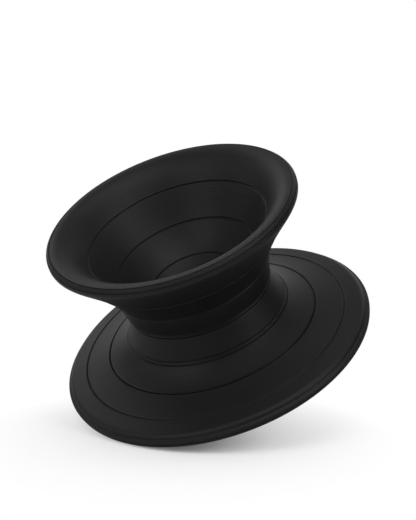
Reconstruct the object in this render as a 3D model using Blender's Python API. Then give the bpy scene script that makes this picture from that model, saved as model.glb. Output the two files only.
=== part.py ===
"""Spinning-top chair: a turned spool made of two hollow mouldings, bolted together at the waist.

The chair lies as it does when nobody sits in it, leaning on one strip of its conical underside.
Units are metres, +Z is up and the floor is the plane z = 0. Every turned piece starts as a half
section of (radius, height) points, with heights measured along the chair's own axis from the
middle of the base rim. A section runs so that the material lies on its right hand side.
"""
import math

import bmesh
import bpy
from mathutils import Matrix, Vector

# Overall form
BASE_RADIUS = 0.455
TOP_RADIUS = 0.367
TOP_RIM_HEIGHT = 0.4405
WAIST_RADIUS = 0.211
WAIST_HEIGHT = 0.177
SEAT_HEIGHT = 0.199
LEAN = math.radians(27.7)

# Rims: two rounds with a plain face between them at the top; a roll, a band and a nose at the base
TOP_RIM_ROUND = 0.0160
TOP_RIM_UNDER_ROUND = 0.0120
TOP_RIM_FACE = 0.0030
BASE_RIM_ROUND = 0.0142
BAND_ANGLE = math.radians(53.0)
BAND_WIDTH = 0.0125
ROLL_ROUND = 0.0190

# Flares: the angle at which each surface meets its rim, and how far each end pulls the curve
LIP_ANGLE = math.radians(-1.4)
LIP_PULL = 0.100
SEAT_PULL = 0.212
COLLAR_ANGLE = math.radians(60.0)
COLLAR_PULL = 0.029
COLLAR_WAIST_PULL = 0.113
SKIRT_ANGLE = math.radians(13.0)
SKIRT_PULL = 0.0755
SKIRT_WAIST_PULL = 0.105

# Turned grooves
GROOVE_WIDTH = 0.0034
GROOVE_DEPTH = 0.0016
SEAT_GROOVE_RADII = (0.1215, 0.1990, 0.2655)
COLLAR_GROOVE_HEIGHTS = (0.3275, 0.2535)
SKIRT_GROOVE_RADII = (0.2345, 0.2425, 0.3100, 0.3880)

# Moulded walls and the waist joint
WALL = 0.005
NECK_WALL = 0.012
SPIGOT_LENGTH = 0.040
SPIGOT_CLEARANCE = 0.0005
SOCKET_FLOOR = 0.010
INSERT_PAD = 0.022
PAD_MARGIN = 0.020
VENT_RADIUS = 0.010
VENT_STEP = 0.002
SEAL_THICKNESS = 0.0015
SEAL_RECESS = 0.0015
JOINT_CHAMFER = 0.0015
SEATING_GAP = 0.0003

# Bolts of the waist joint
BOLT_COUNT = 6
BOLT_FIRST_ANGLE = math.radians(30.0)
BOLT_CIRCLE_RADIUS = 0.042
BOLT_RADIUS = 0.004
BOLT_HEAD_ACROSS_FLATS = 0.013
BOLT_HEAD_HEIGHT = 0.0053
BOLT_HOLE_CLEARANCE = 0.0005
BOLT_BITE = 0.013
INSERT_WALL = 0.002
INSERT_LENGTH = 0.016
CLAMP_PLATE_THICKNESS = 0.004
CLAMP_PLATE_CLEARANCE = 0.002

# Floor tip that closes the mouth of the base
MOUTH_MARGIN = 0.018
FLANGE_WIDTH = 0.025
FLANGE_THICKNESS = 0.010
TIP_EDGE = 0.010
TIP_WALL = 0.010
TIP_ROUND = 0.150
TIP_SPIGOT_WALL = 0.006
TIP_SPIGOT_HEIGHT = 0.008
TIP_SCREW_COUNT = 3
TIP_SCREW_FIRST_ANGLE = math.radians(90.0)
TIP_SCREW_RADIUS = 0.0022
TIP_SCREW_HEAD_RADIUS = 0.0045
TIP_SCREW_HEAD_HEIGHT = 0.0032
TIP_SCREW_BITE = 0.007
TIP_SCREW_GRIP = 0.005

# Facets: a turned piece has a flat strip, not an edge, towards the floor
SEGMENTS = 44
SMALL_SEGMENTS = 16
BOLT_SIDES = 12
SEAT_STEPS = 8
COLLAR_STEPS = 6
SKIRT_STEPS = 8
RIM_STEPS = 2
HOLLOW_RIM_STEPS = 1
TIP_STEPS = 4
SHARP_ANGLE = math.radians(30.0)

# Accuracy of the curve work
MERGE_DISTANCE = 1e-6
TANGENT_STEP = 0.001
HALVINGS = 50

# Places that follow from the sizes above
HALF_FACET = math.pi / SEGMENTS
CONE_SLOPE = math.tan(LEAN) * math.cos(HALF_FACET)
CONE_ANGLE = math.atan(CONE_SLOPE)
TOP_RIM_CENTRE = Vector((TOP_RADIUS - TOP_RIM_ROUND, TOP_RIM_HEIGHT))
TOP_RIM_UNDER_CENTRE = Vector((TOP_RADIUS - TOP_RIM_UNDER_ROUND, TOP_RIM_HEIGHT - TOP_RIM_FACE))
BASE_RIM_CENTRE = Vector((BASE_RADIUS - BASE_RIM_ROUND, 0.0))
BAND_FACING = math.pi / 2 - BAND_ANGLE
APEX_DEPTH = BASE_RIM_CENTRE.x * CONE_SLOPE + BASE_RIM_ROUND / math.cos(CONE_ANGLE)
SHOULDER = WAIST_HEIGHT + SEAL_THICKNESS / 2 + SEATING_GAP
LAND = WAIST_HEIGHT - SEAL_THICKNESS / 2 - SEATING_GAP
SPIGOT_RADIUS = WAIST_RADIUS - NECK_WALL
SOCKET_RADIUS = SPIGOT_RADIUS + SPIGOT_CLEARANCE
SPIGOT_END = WAIST_HEIGHT - SPIGOT_LENGTH
SOCKET_TOP = SPIGOT_END - SEATING_GAP
SOCKET_UNDER = SOCKET_TOP - SOCKET_FLOOR
PLATE_TOP = SOCKET_UNDER - SEATING_GAP
PLATE_UNDER = PLATE_TOP - CLAMP_PLATE_THICKNESS
HEAD_TOP = PLATE_UNDER - SEATING_GAP
INSERT_BOTTOM = SPIGOT_END + SEATING_GAP
PAD_TOP = SPIGOT_END + INSERT_PAD
PAD_RADIUS = BOLT_CIRCLE_RADIUS + PAD_MARGIN
MOUTH_RADIUS = BOLT_CIRCLE_RADIUS + MOUTH_MARGIN
TIP_RADIUS = MOUTH_RADIUS + FLANGE_WIDTH
SCREW_CIRCLE_RADIUS = MOUTH_RADIUS + FLANGE_WIDTH / 2


def cone_height(radius, wall=0.0):
    """Height of the underside at a radius, or of the surface a wall's thickness inside it."""
    return radius * CONE_SLOPE - APEX_DEPTH + wall / math.cos(CONE_ANGLE)


def cone_radius(height, wall=0.0):
    """Radius at which the underside, or the surface a wall inside it, reaches a height."""
    return (height + APEX_DEPTH - wall / math.cos(CONE_ANGLE)) / CONE_SLOPE


REBATE_TOP = cone_height(TIP_RADIUS) + TIP_EDGE
FLANGE_TOP = REBATE_TOP + FLANGE_THICKNESS


# Curves of the section

def polar(angle, length=1.0):
    return Vector((math.cos(angle), math.sin(angle))) * length


def right_hand(direction):
    """Unit normal on the right hand side of a direction, which is the material's side."""
    return Vector((direction.y, -direction.x)).normalized()


def bezier(start, start_handle, end_handle, end):
    """A cubic curve, as a function of t from 0 to 1."""
    def point(t):
        s = 1.0 - t
        return (start * s ** 3 + start_handle * (3 * s * s * t)
                + end_handle * (3 * s * t * t) + end * t ** 3)
    return point


def where(curve, axis, target):
    """The t at which a curve's radius (axis 0) or height (axis 1) passes a target."""
    low, high = 0.0, 1.0
    rising = curve(high)[axis] > curve(low)[axis]
    for _ in range(HALVINGS):
        middle = (low + high) / 2
        if (curve(middle)[axis] < target) == rising:
            low = middle
        else:
            high = middle
    return (low + high) / 2


def sample(curve, steps, first=0.0, last=1.0):
    return [curve(first + (last - first) * i / steps) for i in range(steps + 1)]


def groove(curve, t):
    """The three points of a V groove cut into a curve at t."""
    along = (curve(t + TANGENT_STEP) - curve(t - TANGENT_STEP)).normalized()
    middle = curve(t)
    half = along * (GROOVE_WIDTH / 2)
    return [middle - half, middle + right_hand(along) * GROOVE_DEPTH, middle + half]


def grooved(curve, steps, grooves, first=0.0, last=1.0):
    """Sample a curve with V grooves at the given t values, clear of the plain points."""
    centres = [curve(t) for t in grooves]
    plain = [first + (last - first) * i / steps for i in range(steps + 1)]
    stations = [(t, [curve(t)]) for t in plain
                if all((curve(t) - centre).length > GROOVE_WIDTH for centre in centres)]
    stations += [(t, groove(curve, t)) for t in grooves]
    stations.sort(key=lambda station: station[0])
    return [point for _, station in stations for point in station]


def arc(centre, radius, first, last, steps):
    return [centre + polar(first + (last - first) * i / steps, radius) for i in range(steps + 1)]


def inset(points, distance):
    """The same run of points, moved a distance into the material."""
    moved = []
    for i, point in enumerate(points):
        before = points[max(i - 1, 0)]
        after = points[min(i + 1, len(points) - 1)]
        moved.append(point + right_hand(after - before) * distance)
    return moved


def joined(*runs):
    """One list of points from several runs, without the points that runs share."""
    points = []
    for run in runs:
        for point in map(Vector, run):
            if not points or (point - points[-1]).length > MERGE_DISTANCE:
                points.append(point)
    return points


def top_rim(wall, steps):
    """Upper and lower round of the top rim, or the same a wall inside them."""
    return joined(
        arc(TOP_RIM_CENTRE, TOP_RIM_ROUND - wall, math.pi / 2 + LIP_ANGLE, 0.0, 2 * steps),
        arc(TOP_RIM_UNDER_CENTRE, TOP_RIM_UNDER_ROUND - wall, 0.0, COLLAR_ANGLE - math.pi / 2, steps))


def roll_centre():
    """Centre of the base rim's roll, which the band leaves at a tangent, as it does the nose."""
    across = polar(BAND_FACING, BASE_RIM_ROUND - ROLL_ROUND)
    return BASE_RIM_CENTRE + across + polar(BAND_FACING + math.pi / 2, BAND_WIDTH)


def base_rim(wall, steps):
    """Roll, band and nose of the base rim, or the same a wall inside them."""
    return joined(
        arc(roll_centre(), ROLL_ROUND - wall, math.pi / 2 - SKIRT_ANGLE, BAND_FACING, steps),
        arc(BASE_RIM_CENTRE, BASE_RIM_ROUND - wall, BAND_FACING, CONE_ANGLE - math.pi / 2, 2 * steps))


def seat_curve():
    end = TOP_RIM_CENTRE + polar(math.pi / 2 + LIP_ANGLE, TOP_RIM_ROUND)
    start = Vector((0.0, SEAT_HEIGHT))
    return bezier(start, start + Vector((SEAT_PULL, 0.0)), end - polar(LIP_ANGLE, LIP_PULL), end)


def collar_curve():
    start = TOP_RIM_UNDER_CENTRE + polar(COLLAR_ANGLE - math.pi / 2, TOP_RIM_UNDER_ROUND)
    end = Vector((WAIST_RADIUS, WAIST_HEIGHT))
    return bezier(start, start - polar(COLLAR_ANGLE, COLLAR_PULL),
                  end + Vector((0.0, COLLAR_WAIST_PULL)), end)


def skirt_curve():
    start = Vector((WAIST_RADIUS, WAIST_HEIGHT))
    end = roll_centre() + polar(math.pi / 2 - SKIRT_ANGLE, ROLL_ROUND)
    return bezier(start, start - Vector((0.0, SKIRT_WAIST_PULL)),
                  end - polar(-SKIRT_ANGLE, SKIRT_PULL), end)


# Blender objects

def material(name, colour, roughness, metallic=0.0):
    made = bpy.data.materials.new(name)
    made.use_nodes = True
    shader = made.node_tree.nodes["Principled BSDF"]
    shader.inputs["Base Color"].default_value = (*colour, 1.0)
    shader.inputs["Roughness"].default_value = roughness
    shader.inputs["Metallic"].default_value = metallic
    return made


def add_object(name, bm, finish, lean):
    """Turn a bmesh into a named object that leans with the chair."""
    bmesh.ops.remove_doubles(bm, verts=bm.verts, dist=MERGE_DISTANCE)
    bmesh.ops.recalc_face_normals(bm, faces=bm.faces)
    mesh = bpy.data.meshes.new(name)
    bm.to_mesh(mesh)
    bm.free()
    mesh.shade_smooth()
    mesh.set_sharp_from_angle(angle=SHARP_ANGLE)
    mesh.materials.append(finish)
    made = bpy.data.objects.new(name, mesh)
    bpy.context.collection.objects.link(made)
    made.parent = lean
    return made


def turned(name, section, finish, lean, closed=True, segments=SEGMENTS, place=(0.0, 0.0)):
    """Spin a half section round the axis, or round another line parallel to it."""
    bm = bmesh.new()
    phase = math.pi / segments - math.pi / 2
    corners = [bm.verts.new((r * math.cos(phase), r * math.sin(phase), z)) for r, z in section]
    pairs = list(zip(corners, corners[1:]))
    if closed:
        pairs.append((corners[-1], corners[0]))
    edges = [bm.edges.new(pair) for pair in pairs]
    bmesh.ops.spin(bm, geom=corners + edges, cent=(0, 0, 0), axis=(0, 0, 1), angle=2 * math.pi,
                   steps=segments, use_merge=True)
    bmesh.ops.translate(bm, verts=bm.verts, vec=(place[0], place[1], 0.0))
    return add_object(name, bm, finish, lean)


def circle_places(count, radius, first):
    """Even places round the axis, from a first angle on."""
    return [polar(first + 2 * math.pi * i / count, radius) for i in range(count)]


def drill(target, name, places, radius, bottom, top, lean):
    """Cut one round hole at each place, parallel to the axis."""
    bm = bmesh.new()
    for x, y in places:
        bmesh.ops.create_cone(bm, cap_ends=True, segments=SMALL_SEGMENTS, radius1=radius,
                              radius2=radius, depth=top - bottom,
                              matrix=Matrix.Translation((x, y, (top + bottom) / 2)))
    cutter = add_object(name, bm, target.data.materials[0], lean)
    cutter.hide_render = True
    cutter.display_type = "WIRE"
    cut = target.modifiers.new(name, "BOOLEAN")
    cut.operation = "DIFFERENCE"
    cut.object = cutter


# Pieces

def seat_moulding(finish, lean, bolt_places):
    """Seat bowl, top rim and collar in one hollow moulding, with the spigot below the waist."""
    seat = seat_curve()
    collar = collar_curve()
    edge = where(collar, 1, SHOULDER + JOINT_CHAMFER)
    outside = joined(
        grooved(seat, SEAT_STEPS, [where(seat, 0, radius) for radius in SEAT_GROOVE_RADII]),
        top_rim(0.0, RIM_STEPS),
        grooved(collar, COLLAR_STEPS, [where(collar, 1, height) for height in COLLAR_GROOVE_HEIGHTS],
                last=edge))
    foot = [
        (outside[-1].x - JOINT_CHAMFER, SHOULDER),
        (SPIGOT_RADIUS, SHOULDER),
        (SPIGOT_RADIUS, SPIGOT_END),
        (VENT_RADIUS, SPIGOT_END),
        (VENT_RADIUS, PAD_TOP),
        (PAD_RADIUS, PAD_TOP),
        (PAD_RADIUS, SPIGOT_END + WALL),
        (SPIGOT_RADIUS - WALL, SPIGOT_END + WALL),
        (SPIGOT_RADIUS - WALL, SHOULDER + WALL),
    ]
    hollow_end = where(collar, 1, SHOULDER + WALL)
    hollow = joined(
        inset(sample(seat, SEAT_STEPS), WALL)[1:-1],
        top_rim(WALL, HOLLOW_RIM_STEPS),
        inset(sample(collar, COLLAR_STEPS, last=hollow_end), WALL)[1:])
    section = joined(outside, foot, reversed(hollow), [(0.0, SEAT_HEIGHT - WALL)])
    made = turned("seat_moulding", section, finish, lean, closed=False)
    pocket_top = INSERT_BOTTOM + INSERT_LENGTH + SEATING_GAP
    drill(made, "insert_pockets", bolt_places, BOLT_RADIUS + INSERT_WALL + 2 * SEATING_GAP,
          SPIGOT_END - WALL, pocket_top, lean)


def base_moulding(finish, lean, bolt_places, screw_places):
    """Waist socket, skirt, base rim and conical underside in one hollow moulding."""
    skirt = skirt_curve()
    edge = where(skirt, 1, LAND - JOINT_CHAMFER)
    vent = VENT_RADIUS + VENT_STEP
    socket = [
        (vent, SOCKET_TOP),
        (SOCKET_RADIUS, SOCKET_TOP),
        (SOCKET_RADIUS, LAND),
        (skirt(edge).x - JOINT_CHAMFER, LAND),
    ]
    outside = joined(
        grooved(skirt, SKIRT_STEPS, [where(skirt, 0, radius) for radius in SKIRT_GROOVE_RADII], first=edge),
        base_rim(0.0, RIM_STEPS))
    mouth = [
        (TIP_RADIUS, cone_height(TIP_RADIUS)),
        (TIP_RADIUS, REBATE_TOP),
        (MOUTH_RADIUS, REBATE_TOP),
        (MOUTH_RADIUS, FLANGE_TOP),
        (cone_radius(FLANGE_TOP, WALL), FLANGE_TOP),
    ]
    hollow_start = where(skirt, 1, SOCKET_UNDER)
    hollow = joined(
        inset(sample(skirt, SKIRT_STEPS, first=hollow_start), WALL)[:-1],
        base_rim(WALL, HOLLOW_RIM_STEPS))
    ceiling = [(hollow[0].x, SOCKET_UNDER), (vent, SOCKET_UNDER)]
    section = joined(socket, outside, mouth, reversed(hollow), ceiling)
    made = turned("base_moulding", section, finish, lean)
    drill(made, "bolt_holes", bolt_places, BOLT_RADIUS + BOLT_HOLE_CLEARANCE,
          SOCKET_UNDER - WALL, SOCKET_TOP + WALL, lean)
    drill(made, "screw_pilots", screw_places, TIP_SCREW_RADIUS + SEATING_GAP,
          REBATE_TOP - WALL, REBATE_TOP + TIP_SCREW_BITE + SEATING_GAP, lean)


def joint_seal(finish, lean):
    """Flat ring squeezed between the mouldings, set back inside the waist groove."""
    inner = SOCKET_RADIUS
    outer = WAIST_RADIUS - SEAL_RECESS
    top = WAIST_HEIGHT + SEAL_THICKNESS / 2
    bottom = WAIST_HEIGHT - SEAL_THICKNESS / 2
    turned("joint_seal", [(inner, top), (outer, top), (outer, bottom), (inner, bottom)], finish, lean)


def clamp_plate(finish, lean, bolt_places):
    """Steel ring under the socket floor that spreads the pull of the bolts."""
    inner = VENT_RADIUS + VENT_STEP
    outer = MOUTH_RADIUS - CLAMP_PLATE_CLEARANCE
    section = [(inner, PLATE_TOP), (outer, PLATE_TOP), (outer, PLATE_UNDER), (inner, PLATE_UNDER)]
    made = turned("clamp_plate", section, finish, lean, segments=2 * SMALL_SEGMENTS)
    drill(made, "plate_holes", bolt_places, BOLT_RADIUS + BOLT_HOLE_CLEARANCE,
          PLATE_UNDER - WALL, PLATE_TOP + WALL, lean)


def hexagon(across_flats, count):
    """Radius of a hexagon's outline at each of an even count of angles."""
    sector = math.pi / 3
    angles = [2 * math.pi * i / count for i in range(count)]
    return [across_flats / 2 / math.cos((angle + sector / 2) % sector - sector / 2) for angle in angles]


def joint_bolt(name, place, finish, lean):
    """Hexagon-head bolt, head down, driven up through the plate and the socket floor."""
    head = hexagon(BOLT_HEAD_ACROSS_FLATS, BOLT_SIDES)
    shank = [BOLT_RADIUS] * BOLT_SIDES
    bottom = HEAD_TOP - BOLT_HEAD_HEIGHT
    rings = [(head, bottom), (head, HEAD_TOP), (shank, HEAD_TOP), (shank, INSERT_BOTTOM + BOLT_BITE)]
    bm = bmesh.new()
    loops = []
    for radii, height in rings:
        points = [polar(2 * math.pi * i / BOLT_SIDES, radius) for i, radius in enumerate(radii)]
        loops.append([bm.verts.new((p.x + place[0], p.y + place[1], height)) for p in points])
    for lower, upper in zip(loops, loops[1:]):
        for i in range(BOLT_SIDES):
            j = (i + 1) % BOLT_SIDES
            bm.faces.new((lower[i], lower[j], upper[j], upper[i]))
    bm.faces.new(reversed(loops[0]))
    bm.faces.new(loops[-1])
    add_object(name, bm, finish, lean)


def threaded_insert(name, place, finish, lean):
    """Brass bush moulded into the seat's floor, which the bolt screws into."""
    inner = BOLT_RADIUS + SEATING_GAP
    outer = BOLT_RADIUS + INSERT_WALL + SEATING_GAP
    top = INSERT_BOTTOM + INSERT_LENGTH
    section = [(inner, top), (outer, top), (outer, INSERT_BOTTOM), (inner, INSERT_BOTTOM)]
    turned(name, section, finish, lean, segments=SMALL_SEGMENTS, place=place)


def floor_tip(finish, lean, screw_places):
    """Rounded wearing cap that closes the base's mouth and carries on the underside's cone."""
    edge = TIP_RADIUS - SEATING_GAP
    top = REBATE_TOP - SEATING_GAP
    spigot = MOUTH_RADIUS - SPIGOT_CLEARANCE
    bore = spigot - TIP_SPIGOT_WALL
    ball = Vector((0.0, TIP_ROUND / math.cos(CONE_ANGLE) - APEX_DEPTH))
    floor = ball.y - TIP_ROUND + TIP_WALL
    inside = [
        (0.0, floor),
        (cone_radius(floor, TIP_WALL), floor),
        (bore, cone_height(bore, TIP_WALL)),
        (bore, top + TIP_SPIGOT_HEIGHT),
        (spigot, top + TIP_SPIGOT_HEIGHT),
        (spigot, top),
        (edge, top),
        (edge, cone_height(edge)),
    ]
    nose = arc(ball, TIP_ROUND, CONE_ANGLE - math.pi / 2, -math.pi / 2, TIP_STEPS)
    nose[-1].x = 0.0
    made = turned("floor_tip", joined(inside, nose), finish, lean, closed=False)
    head_top = top - TIP_SCREW_GRIP
    drill(made, "screw_holes", screw_places, TIP_SCREW_RADIUS + SEATING_GAP,
          head_top - TIP_WALL, top + WALL, lean)
    drill(made, "screw_counterbores", screw_places, TIP_SCREW_HEAD_RADIUS + SPIGOT_CLEARANCE,
          cone_height(0.0), head_top, lean)


def tip_screw(name, place, finish, lean):
    """Pan-head screw, head down in its counterbore, driven into the base's mouth flange."""
    head_top = REBATE_TOP - SEATING_GAP - TIP_SCREW_GRIP - SEATING_GAP
    section = [
        (0.0, REBATE_TOP + TIP_SCREW_BITE),
        (TIP_SCREW_RADIUS, REBATE_TOP + TIP_SCREW_BITE),
        (TIP_SCREW_RADIUS, head_top),
        (TIP_SCREW_HEAD_RADIUS, head_top),
        (TIP_SCREW_HEAD_RADIUS, head_top - TIP_SCREW_HEAD_HEIGHT),
        (0.0, head_top - TIP_SCREW_HEAD_HEIGHT),
    ]
    turned(name, section, finish, lean, closed=False, segments=SMALL_SEGMENTS, place=place)


def lean_empty():
    """Empty that lays the chair on a strip of its underside, the strip's middle at the origin."""
    strip_middle = (TIP_RADIUS + BASE_RIM_CENTRE.x) / 2
    reach = strip_middle * math.cos(HALF_FACET) / math.cos(LEAN)
    made = bpy.data.objects.new("lean", None)
    made.rotation_euler = (LEAN, 0.0, 0.0)
    made.location = (0.0, reach - APEX_DEPTH * math.sin(LEAN), APEX_DEPTH * math.cos(LEAN))
    bpy.context.collection.objects.link(made)
    return made


def main():
    for old in list(bpy.data.objects):
        bpy.data.objects.remove(old, do_unlink=True)
    polyethylene = material("black_polyethylene", (0.012, 0.012, 0.013), 0.55)
    nylon = material("black_nylon", (0.016, 0.016, 0.017), 0.45)
    rubber = material("black_rubber", (0.010, 0.010, 0.010), 0.80)
    steel = material("zinc_plated_steel", (0.60, 0.60, 0.58), 0.35, metallic=1.0)
    brass = material("brass", (0.72, 0.53, 0.24), 0.35, metallic=1.0)
    lean = lean_empty()
    bolt_places = circle_places(BOLT_COUNT, BOLT_CIRCLE_RADIUS, BOLT_FIRST_ANGLE)
    screw_places = circle_places(TIP_SCREW_COUNT, SCREW_CIRCLE_RADIUS, TIP_SCREW_FIRST_ANGLE)
    seat_moulding(polyethylene, lean, bolt_places)
    base_moulding(polyethylene, lean, bolt_places, screw_places)
    joint_seal(rubber, lean)
    clamp_plate(steel, lean, bolt_places)
    floor_tip(nylon, lean, screw_places)
    for number, place in enumerate(bolt_places, start=1):
        joint_bolt(f"joint_bolt_{number}", place, steel, lean)
        threaded_insert(f"threaded_insert_{number}", place, brass, lean)
    for number, place in enumerate(screw_places, start=1):
        tip_screw(f"tip_screw_{number}", place, steel, lean)


main()
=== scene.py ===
"""Spinning-top chair: the finish of its mouldings, seal, tip and fastenings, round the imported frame.

Every turned piece starts as a half section of (radius, height) points, with heights measured along
the chair's own axis from the middle of the base rim. Geometry Nodes spin the section, and the
result is laid over to where the frame has the chair. Units are metres, +Z is up.
"""
import math

import bmesh
import bpy
import numpy as np
from bpy.props import FloatProperty, FloatVectorProperty, IntProperty, PointerProperty
from mathutils import Matrix, Vector


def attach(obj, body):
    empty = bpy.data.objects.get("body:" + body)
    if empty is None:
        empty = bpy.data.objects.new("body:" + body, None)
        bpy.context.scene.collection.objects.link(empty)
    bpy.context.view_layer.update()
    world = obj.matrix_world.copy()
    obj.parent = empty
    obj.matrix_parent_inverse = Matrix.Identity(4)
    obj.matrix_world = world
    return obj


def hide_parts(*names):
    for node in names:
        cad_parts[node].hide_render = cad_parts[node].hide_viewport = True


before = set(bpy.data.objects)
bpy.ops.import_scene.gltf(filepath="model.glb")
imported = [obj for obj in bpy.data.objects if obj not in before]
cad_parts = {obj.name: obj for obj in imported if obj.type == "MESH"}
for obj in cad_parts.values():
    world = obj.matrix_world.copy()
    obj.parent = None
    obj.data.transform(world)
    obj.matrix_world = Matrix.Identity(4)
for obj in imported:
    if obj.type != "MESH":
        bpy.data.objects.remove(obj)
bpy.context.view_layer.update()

bl_info = {
    "name": "Spinning-top chair",
    "version": (1, 0, 0),
    "blender": (4, 5, 0),
    "location": "View3D > Sidebar > Chair",
    "description": "Builds the finished look of a turned, moulded chair that rocks on its rim",
    "category": "Add Mesh",
}

BODY = "root"
SCREW_SEGMENTS = 32
DRILL_SEGMENTS = 32
# Points closer than these are one: on a mesh, and along a section
WELD = 1e-5
SAME_POINT = 1e-6
SHARP_EDGE = math.radians(40.0)
# Width and depth of the slots in a screw's head, as shares of their length
SLOT_WIDTH = 0.24
SLOT_DEPTH = 0.8
PHOTO_HEIGHT = 520
SENSOR = 36.0


# Settings that a user would change

def length(label, text, default):
    return FloatProperty(name=label, description=text, default=default, unit="LENGTH", precision=5)


def angle(label, text, degrees):
    return FloatProperty(name=label, description=text, default=math.radians(degrees), unit="ROTATION")


def share(label, text, default):
    return FloatProperty(name=label, description=text, default=default, min=0.0, max=1.0)


def amount(label, text, default):
    return FloatProperty(name=label, description=text, default=default, min=0.0)


def colour(label, text, default):
    return FloatVectorProperty(name=label, description=text, default=default, subtype="COLOR", size=3,
                               min=0.0, max=1.0)


class ChairForm(bpy.types.PropertyGroup):
    """Sizes of the two mouldings"""
    base_radius: length("Base radius", "Half the width over the base rim", 0.455)
    top_radius: length("Top radius", "Half the width over the top rim", 0.367)
    top_rim_height: length("Top rim height", "Middle of the top rim above that of the base rim", 0.4405)
    waist_radius: length("Waist radius", "Half the width at the narrowest place", 0.211)
    waist_height: length("Waist height", "Narrowest place above the base rim", 0.177)
    seat_height: length("Seat height", "Lowest place of the bowl above the base rim", 0.199)
    top_rim_round: length("Top rim round", "Radius of the top rim's upper round", 0.0160)
    top_rim_under: length("Top rim under-round", "Radius of the top rim's lower round", 0.0120)
    top_rim_face: length("Top rim face", "Height of the rim between its two rounds", 0.0030)
    lip_angle: angle("Lip angle", "Rise of the bowl where it meets the top rim", -1.4)
    lip_pull: length("Lip pull", "How far the lip holds the bowl's curve", 0.100)
    seat_pull: length("Seat pull", "How far the seat's middle holds the bowl's curve", 0.212)
    collar_angle: angle("Collar angle", "Rise of the collar where it meets the top rim", 60.0)
    collar_pull: length("Collar pull", "How far the rim holds the collar's curve", 0.0217)
    collar_bend_radius: length("Collar bend radius", "Radius where its straight foot begins", 0.2300)
    collar_bend_height: length("Collar bend height", "Height where its straight foot begins", 0.2535)
    collar_bend_angle: angle("Collar bend angle", "Overhang of the collar's curve at that bend", 23.3)
    collar_bend_pull: length("Collar bend pull", "How far the bend holds the collar's curve", 0.0878)
    skirt_angle: angle("Skirt angle", "Fall of the skirt where it meets the base rim", 13.0)
    skirt_pull: length("Skirt pull", "How far the rim holds the skirt's curve", 0.0560)
    skirt_bend_radius: length("Skirt bend radius", "Radius where the skirt's straight neck ends", 0.2350)
    skirt_bend_height: length("Skirt bend height", "Height where the skirt's straight neck ends", 0.1120)
    skirt_bend_angle: angle("Skirt bend angle", "Slope of the skirt's curve at that bend", 39.7)
    skirt_bend_pull: length("Skirt bend pull", "How far the bend holds the skirt's curve", 0.0702)
    roll_round: length("Roll round", "Radius of the roll from the skirt to the rim's band", 0.019)
    band_angle: angle("Band angle", "Fall of the flat band between the roll and the rim's nose", 53.0)
    band_width: length("Band width", "Width of that band", 0.0125)
    groove_width: length("Groove width", "Width of a turned groove", 0.0050)
    groove_depth: length("Groove depth", "Depth of a turned groove", 0.0022)
    wall: length("Wall", "Thickness of the mouldings", 0.005)
    ridge_pitch: length("Ridge pitch", "Distance between fine turned ridges", 0.009)
    bowl_ridge: length("Bowl ridge", "Height of the ridges in the bowl", 0.00010)
    collar_ridge: length("Collar ridge", "Height of the ridges on the collar", 0.00110)
    skirt_ridge: length("Skirt ridge", "Height of the ridges on the skirt", 0.00010)
    segments: IntProperty(name="Segments", description="Facets round a turned piece", default=160, min=24)


class ChairJoint(bpy.types.PropertyGroup):
    """Sizes of the waist joint, the floor tip and what fastens them"""
    neck_wall: length("Neck wall", "From the waist's outside to the spigot", 0.012)
    spigot_length: length("Spigot length", "How far the spigot reaches below the waist", 0.040)
    socket_floor: length("Socket floor", "Thickness of the floor under the spigot", 0.010)
    fit_gap: length("Fit gap", "Gap between pieces that seat on each other", 0.0003)
    slip_gap: length("Slip gap", "Gap between pieces that slide into each other", 0.0005)
    seal_thickness: length("Seal thickness", "Height of the ring between the mouldings", 0.0015)
    seal_recess: length("Seal recess", "How far the ring lies inside the waist", 0.0015)
    chamfer: length("Chamfer", "Chamfer of the collar at the waist joint", 0.0018)
    land_chamfer: length("Land chamfer", "Chamfer of the skirt at the waist joint", 0.0008)
    foot_height: length("Foot height", "Height of the groove over the collar's foot above its edge", 0.0055)
    foot_width: length("Foot width", "Width of that groove", 0.0070)
    foot_depth: length("Foot depth", "Depth of that groove", 0.0034)
    vent_radius: length("Vent radius", "Radius of the vent in the seat's floor", 0.010)
    vent_step: length("Vent step", "How much wider the vent is in the base", 0.002)
    pad_radius: length("Pad radius", "Radius of the thick floor that holds the inserts", 0.062)
    pad_height: length("Pad height", "Thickness of that floor", 0.022)
    bolt_count: IntProperty(name="Bolts", description="Bolts round the waist joint", default=6, min=1)
    bolt_first: angle("First bolt", "Place of the first bolt round the axis", 30.0)
    bolt_circle: length("Bolt circle", "Radius of the circle of bolts", 0.042)
    bolt_radius: length("Bolt radius", "Radius of a bolt's shank", 0.004)
    insert_wall: length("Insert wall", "Wall of a threaded insert", 0.002)
    insert_length: length("Insert length", "Length of a threaded insert", 0.016)
    mouth_radius: length("Mouth radius", "Radius of the opening in the base's floor", 0.060)
    flange: length("Flange", "Thickness of the base's floor round that opening", 0.010)
    tip_radius: length("Tip radius", "Radius of the floor tip", 0.085)
    tip_edge: length("Tip edge", "Height of the tip's outer edge", 0.010)
    tip_round: length("Tip round", "Radius of the tip's nose", 0.150)
    tip_wall: length("Tip wall", "Thickness of the tip", 0.010)
    tip_spigot_wall: length("Tip spigot wall", "Wall of the ring that centres the tip", 0.006)
    tip_spigot_height: length("Tip spigot height", "Height of that ring", 0.008)
    screw_count: IntProperty(name="Tip screws", description="Screws that hold the tip", default=3, min=1)
    screw_first: angle("First tip screw", "Place of the first tip screw round the axis", 90.0)
    screw_circle: length("Screw circle", "Radius of the circle of tip screws", 0.0725)
    screw_radius: length("Screw radius", "Radius of a tip screw's shank", 0.0022)
    screw_head: length("Screw head", "Radius of a tip screw's head", 0.0045)
    screw_head_height: length("Screw head height", "Height of that head", 0.0032)
    screw_grip: length("Screw grip", "Thickness that the screw's head clamps", 0.005)
    screw_bite: length("Screw bite", "How far the screw reaches into the base", 0.007)


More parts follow.
